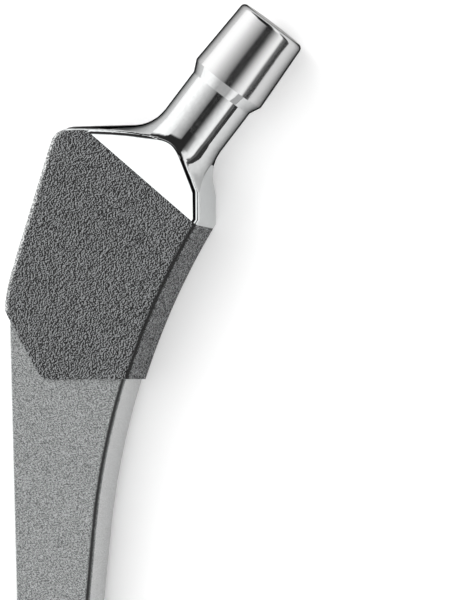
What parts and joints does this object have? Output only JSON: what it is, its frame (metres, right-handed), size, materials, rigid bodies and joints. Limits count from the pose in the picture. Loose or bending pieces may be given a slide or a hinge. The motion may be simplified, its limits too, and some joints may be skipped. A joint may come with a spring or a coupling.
{
  "type": "hip implant stem",
  "caption": "Short cementless hip stem: flat double wedge with a turned neck, a 12/14 head taper and a porous coating round its upper third.",
  "frame": {"origin": "under the middle of the bounding box, on the surface that the stem lies on", "axes": "the stem lies on its flat posterior face: +Y towards the shoulder (proximal), +X towards the head (medial), +Z anterior, up from the surface"},
  "size_m": [0.0514, 0.1324, 0.0147],
  "materials": {
    "titanium_metal": "polished neck and shoulder, fine blasted body",
    "sprayed_titanium": "coarse porous spray"
  },
  "bodies": {
    "root": {"stem": "titanium_metal", "porous_coating": "sprayed_titanium"}
  },
  "joints": []
}
